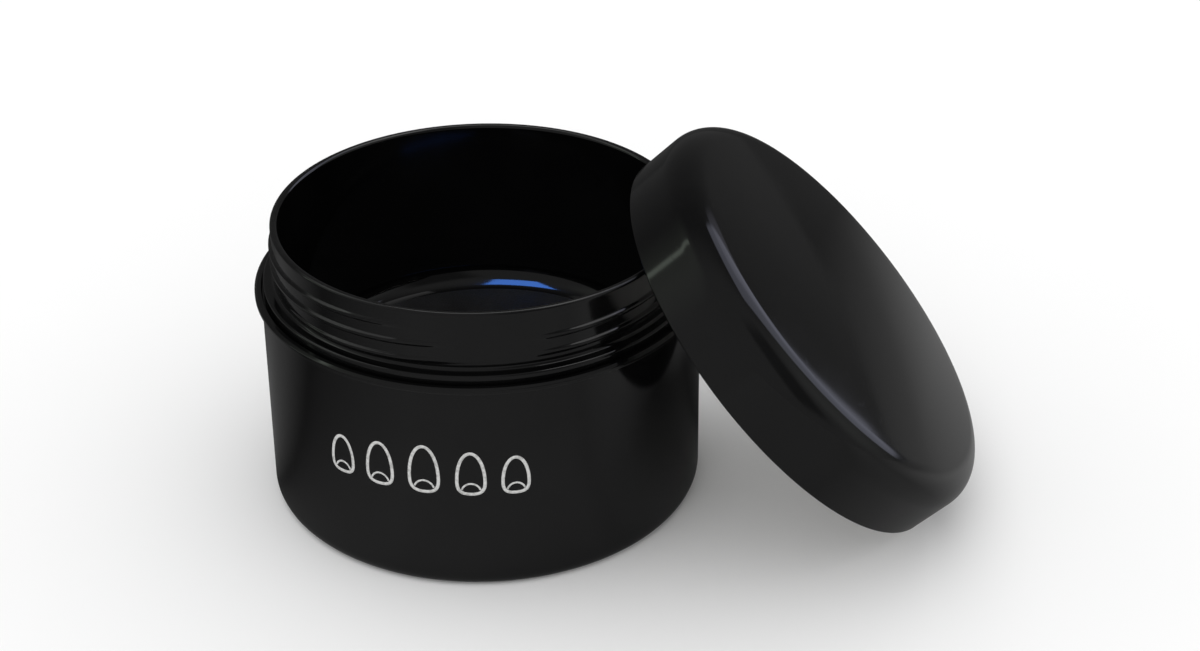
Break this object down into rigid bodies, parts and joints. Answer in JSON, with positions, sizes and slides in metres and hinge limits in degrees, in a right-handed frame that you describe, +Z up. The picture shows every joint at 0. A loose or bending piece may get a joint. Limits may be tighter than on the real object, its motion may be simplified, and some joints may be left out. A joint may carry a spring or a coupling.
{
  "type": "screw-top salon jar",
  "caption": "Wide-mouth double-wall jar in gloss black plastic with its threaded, domed screw lid taken off and leaned on its rim.",
  "frame": {"origin": "centre of the jar's underside, on the surface that it stands on", "axes": "+Z up along the jar's axis, +X from the jar towards the leaning lid, +Y to the back"},
  "size_m": [0.1227, 0.076, 0.0616],
  "materials": {
    "shell_black": "smooth high-gloss moulded plastic with fine handling marks",
    "cup_black": "gloss moulded plastic, the middle of the floor finely textured",
    "lid_black": "smooth gloss moulded plastic",
    "insert_black": "satin moulded plastic",
    "liner_white": "soft closed-cell foam with a smooth skin"
  },
  "bodies": {
    "jar": {"outer_shell": "shell_black", "inner_cup": "cup_black"},
    "liner": {"sealing_liner": "liner_white"},
    "lid": {"cap_shell": "lid_black", "cap_insert": "insert_black"}
  },
  "joints": [
    {"name": "lid_swing", "type": "hinge", "parent": "jar", "child": "liner", "pos_m": [-0.00274, 0, -0.02044], "axis": [0, -1, 0], "range_deg": [0, 46.3]},
    {"name": "lid_turn", "type": "hinge", "parent": "liner", "child": "lid", "pos_m": [0.05127, 0, 0.02738], "axis": [0.723, 0, 0.6909], "continuous": true}
  ]
}
